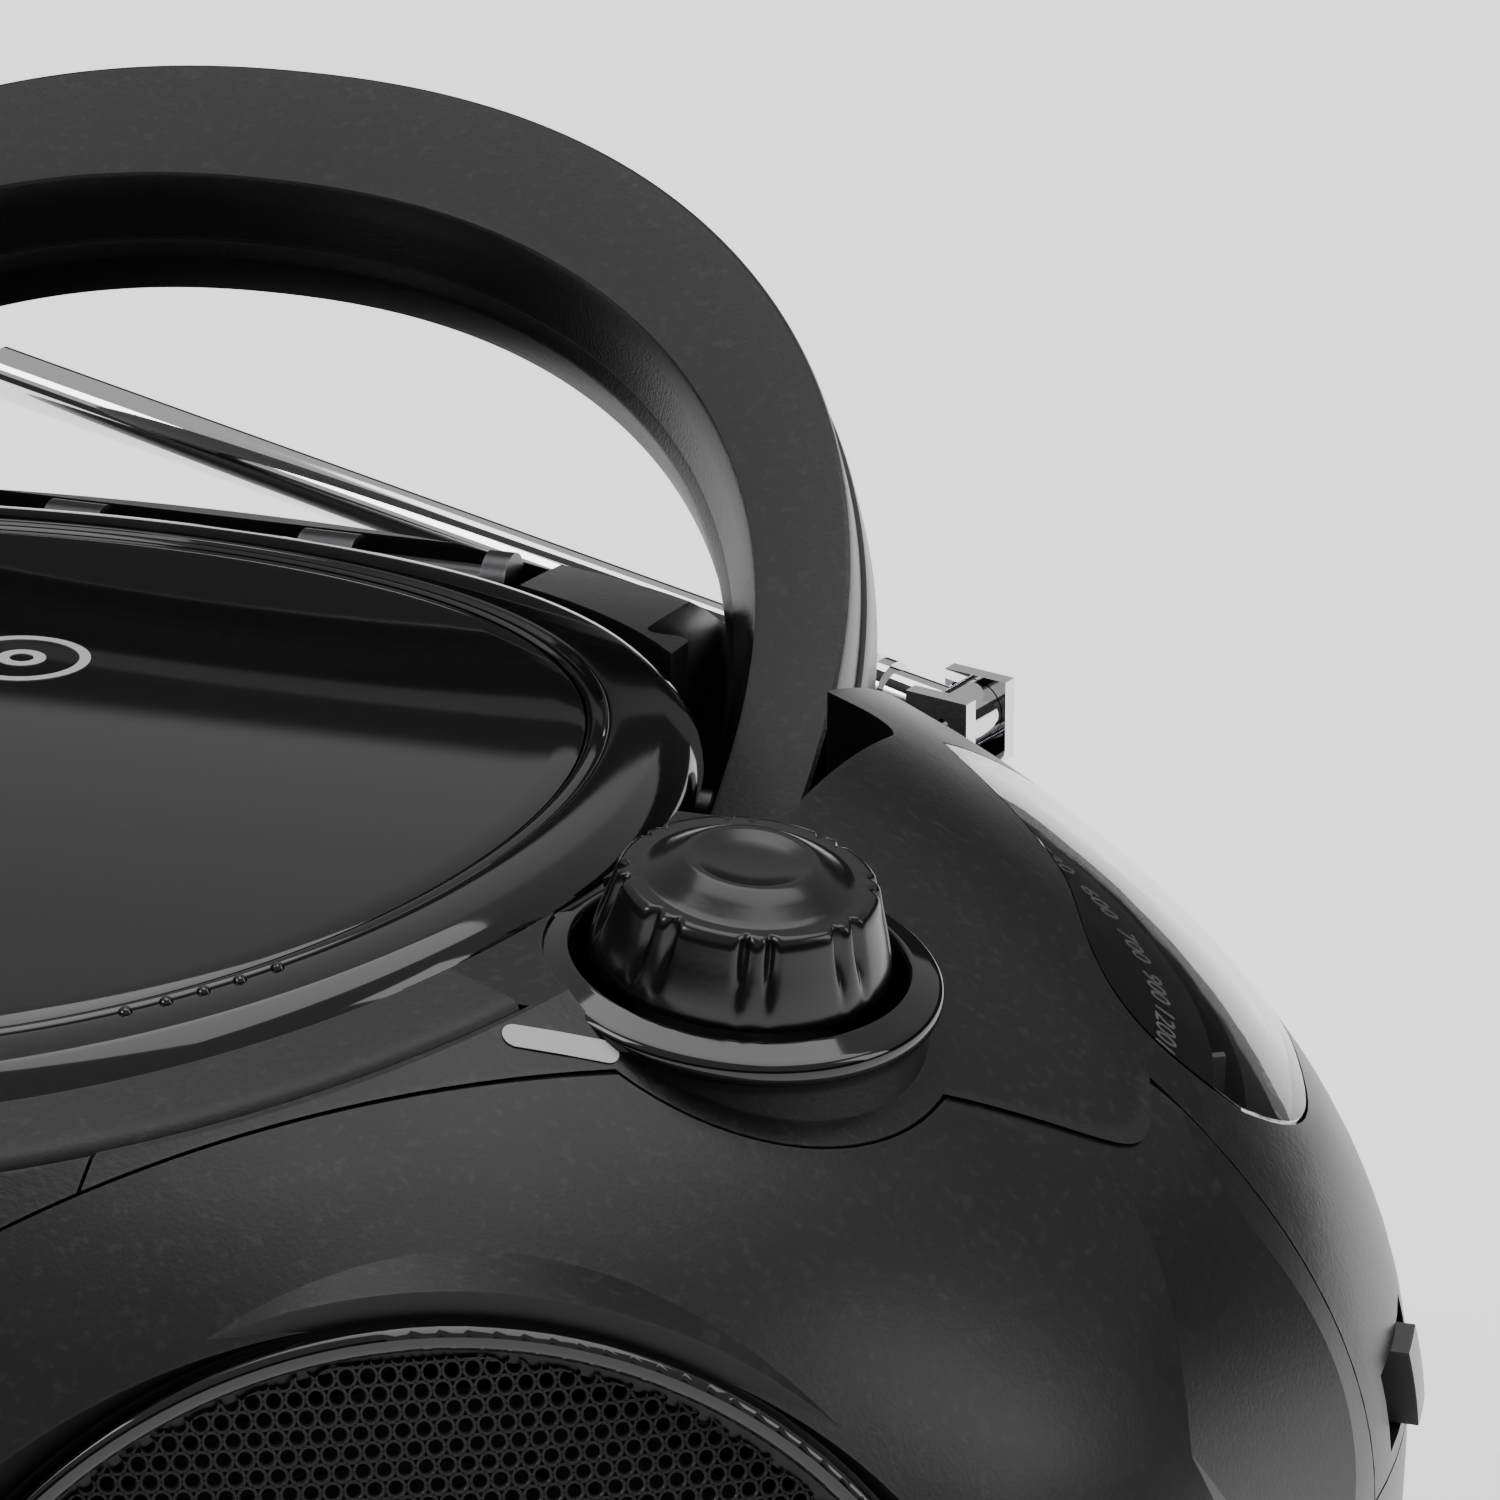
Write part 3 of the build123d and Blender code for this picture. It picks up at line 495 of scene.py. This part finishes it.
def mesh_sheet(side, name, node):
    bm = one_cell()
    row_step = PITCH * math.sqrt(3) / 2
    first = list(bm.verts) + list(bm.edges) + list(bm.faces)
    reach = int(REACH / PITCH) + 1
    for i in range(-reach, reach + 1):
        if i:
            copy = bmesh.ops.duplicate(bm, geom=first)["geom"]
            copied = [g for g in copy if isinstance(g, bmesh.types.BMVert)]
            bmesh.ops.translate(bm, verts=copied, vec=(i * PITCH, 0, 0))
    first = list(bm.verts) + list(bm.edges) + list(bm.faces)
    rows = int(REACH / row_step) + 1
    for j in range(-rows, rows + 1):
        if j:
            copy = bmesh.ops.duplicate(bm, geom=first)["geom"]
            bmesh.ops.translate(bm, verts=[g for g in copy if isinstance(g, bmesh.types.BMVert)],
                                vec=(PITCH / 2 * (j % 2), j * row_step, 0))
    bmesh.ops.remove_doubles(bm, verts=bm.verts, dist=0.01)
    outside = [v for v in bm.verts if v.co.xy.length > REACH]
    bmesh.ops.delete(bm, geom=outside, context="VERTS")
    for v in bm.verts:
        r = v.co.xy.length
        z = 7.0 - CAP_R + math.sqrt(CAP_R ** 2 - r * r) + v.co.z
        p = cone_at + (cone_side * v.co.x + cone_up * v.co.y + cone_out * z) * MM
        p.x *= side
        v.co = p
    return finish_piece(bm, name, "mesh_metal", "chassis", [node], 40)


for side, label in ((1, "right"), (-1, "left")):
    obj = mesh_sheet(side, "mesh_" + label, "grille_" + label)
    print(obj.name, len(obj.data.polygons), "faces")

# %% [markdown]
# ## Small marks
# Raised dots mark the front edge of the lid, a plain disc sign sits near its middle, and a pale oval marks
# the tuning knob. The dial carries numbers only. Each mark lies on the surface below it.

# %% Dots, disc sign and knob mark
def laid_disc(name, spots, radii, lift, rule, material, body, squash=1.0):
    bm = bmesh.new()
    for x, y in spots:
        rings = []
        for r, h in radii:
            made = bmesh.ops.create_circle(bm, segments=40, radius=r, cap_ends=False)
            for v in made["verts"]:
                px, py = x + v.co.x, y + v.co.y * squash
                v.co = Vector((px * MM, py * MM, rule(px * MM, py * MM) + (lift + h) * MM))
            keep = set(made["verts"])
            rings.append([e for e in bm.edges if e.verts[0] in keep and e.verts[1] in keep])
        for a, b in zip(rings, rings[1:]):
            bmesh.ops.bridge_loops(bm, edges=a + b)
    return finish_piece(bm, name, material, body, [], 40)


def on_lid(x, y):
    return barrel(y)


DOT_RING = 62.7
DOT_ANGLES = (39.1, 42.4, 45.5, 48.6, 51.9)
DOT_LIFT = 0.7
SIGN_AT = (4.0, 18.0)
SIGN_LIFT = 0.26
dots = [(DOT_RING * math.sin(math.radians(t)), -DOT_RING * math.cos(math.radians(t))) for t in DOT_ANGLES]
laid_disc("lid_dots", dots, [(0.65, -0.1), (0.6, 0.25), (0.4, 0.5), (0.02, 0.55)],
          DOT_LIFT, on_lid, "gloss_black", "lid")
laid_disc("lid_sign_ring", [SIGN_AT], [(6.2, 0), (6.2, 0.06), (5.2, 0.06), (5.2, 0)],
          SIGN_LIFT, on_lid, "print_light", "lid")
laid_disc("lid_sign_hub", [SIGN_AT], [(2.2, 0), (2.2, 0.06), (1.1, 0.06), (1.1, 0)],
          SIGN_LIFT, on_lid, "print_light", "lid")

# %% Knob mark
bm = bmesh.new()
bmesh.ops.create_circle(bm, segments=48, radius=1.0, cap_ends=True)
bmesh.ops.triangulate(bm, faces=bm.faces)
mark_turn = math.radians(23)
for v in bm.verts:
    stretch = 3.7 if v.co.x > 0 else -3.7
    lx, ly = v.co.x * 1.15 + stretch * (1 if abs(v.co.x) > 1e-4 else 0), v.co.y * 1.15
    px = 75.0 + lx * math.cos(mark_turn) - ly * math.sin(mark_turn)
    py = -40.6 + lx * math.sin(mark_turn) + ly * math.cos(mark_turn)
    v.co = Vector((px * MM, py * MM, dome(px * MM, py * MM) + 0.00012))
finish_piece(bm, "tuning_mark", "print_light", "chassis", [], 60)

# %% Dial numbers
def dial_text(text, radius, turn, size):
    a = math.radians(turn)
    x, y = 80 + radius * math.cos(a), 5 + radius * math.sin(a)
    ax, ay, az = 132.1, 106.1, 67.1
    h = math.sqrt(1 - (x / ax) ** 2 - (y / ay) ** 2)
    normal = Vector((x / ax ** 2, y / ay ** 2, h / az)).normalized()
    outward = Vector((math.cos(a), math.sin(a), 0))
    outward = (outward - normal * outward.dot(normal)).normalized()
    along = outward.cross(normal)
    curve = bpy.data.curves.new("dial_number_" + text, "FONT")
    curve.body = text
    curve.size = size * MM
    curve.extrude = 0.00003
    curve.align_x = "CENTER"
    curve.align_y = "CENTER"
    curve.materials.append(mats["print_light"])
    obj = bpy.data.objects.new("dial_number_" + text, curve)
    bpy.context.scene.collection.objects.link(obj)
    place = Vector((x, y, 66 + az * h)) + normal * 0.12
    obj.matrix_world = Matrix.Translation(place * MM) @ Matrix((along, outward, normal)).transposed().to_4x4()
    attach(obj, "chassis")


for i, text in enumerate(("530", "600", "700", "900", "1200", "1700")):
    dial_text(text, 32.5, 62 - 11 * i, 3.2)
for i, text in enumerate(("88", "92", "96", "100", "105", "108")):
    dial_text(text, 43.0, 60 - 10 * i, 3.2)
print("marks made")

# %% [markdown]
# ## Stage, light and camera
# A pale floor runs to the horizon. Broad soft lights make the long gradients that show off black plastic.

# %% Floor and world
bpy.ops.mesh.primitive_plane_add(size=8, location=(0, 0, 0))
floor = bpy.context.object
floor.name = "floor"
floor_mat = bpy.data.materials.new("floor")
floor_mat.use_nodes = True
floor_mat.node_tree.nodes["Principled BSDF"].inputs["Base Color"].default_value = (0.9, 0.9, 0.9, 1)
floor_mat.node_tree.nodes["Principled BSDF"].inputs["Roughness"].default_value = 0.7
floor_mat.node_tree.nodes["Principled BSDF"].inputs["Emission Color"].default_value = (1, 1, 1, 1)
floor_mat.node_tree.nodes["Principled BSDF"].inputs["Emission Strength"].default_value = 0.9
floor.data.materials.append(floor_mat)
world = bpy.data.worlds.new("studio")
bpy.context.scene.world = world
world.use_nodes = True
sky = world.node_tree
sky_coord = sky.nodes.new("ShaderNodeTexCoord")
sky_split = sky.nodes.new("ShaderNodeSeparateXYZ")
sky_range = sky.nodes.new("ShaderNodeMapRange")
sky_range.interpolation_type = "SMOOTHSTEP"
sky_range.inputs["From Min"].default_value = 0.32
sky_range.inputs["From Max"].default_value = 0.345
sky_range.inputs["To Min"].default_value = 0.04
sky_range.inputs["To Max"].default_value = 0.5
sky.links.new(sky_coord.outputs["Generated"], sky_split.inputs["Vector"])
sky.links.new(sky_split.outputs["Z"], sky_range.inputs["Value"])
sky.links.new(sky_range.outputs["Result"], sky.nodes["Background"].inputs["Strength"])
sky.nodes["Background"].inputs["Color"].default_value = (1, 1, 1, 1)


def soft_light(name, place, aim, size, power):
    data = bpy.data.lights.new(name, "AREA")
    data.shape = "RECTANGLE"
    data.size, data.size_y = size
    data.energy = power
    obj = bpy.data.objects.new(name, data)
    bpy.context.scene.collection.objects.link(obj)
    obj.location = place
    obj.rotation_euler = (Vector(aim) - Vector(place)).to_track_quat("-Z", "Y").to_euler()
    return obj


soft_light("key", (-0.9, -0.7, 1.3), (0, 0, 0.1), (0.7, 0.7), 10)
soft_light("right_side", (1.3, 0.2, 0.8), (0.1, 0, 0.1), (0.4, 0.9), 4)
soft_light("top", (0.1, 0.5, 1.8), (0, 0, 0.1), (1.6, 1.2), 16)

# %% Camera
CAMERA_AT = (0.3433, -0.8156, 0.4756)
LENS_MM = 259.1
SENSOR_MM = 36.0
azimuth, elevation = math.radians(18), math.radians(22)
level = math.cos(elevation)
back = Vector((math.sin(azimuth) * level, -math.cos(azimuth) * level, math.sin(elevation)))
right = Vector((math.cos(azimuth), math.sin(azimuth), 0))
up = back.cross(right)
camera_data = bpy.data.cameras.new("camera")
camera_data.lens = LENS_MM
camera_data.sensor_width = SENSOR_MM
camera = bpy.data.objects.new("camera", camera_data)
bpy.context.scene.collection.objects.link(camera)
turn = Matrix((right, up, back)).transposed()
camera.matrix_world = Matrix.Translation(CAMERA_AT) @ turn.to_4x4()
bpy.context.scene.camera = camera
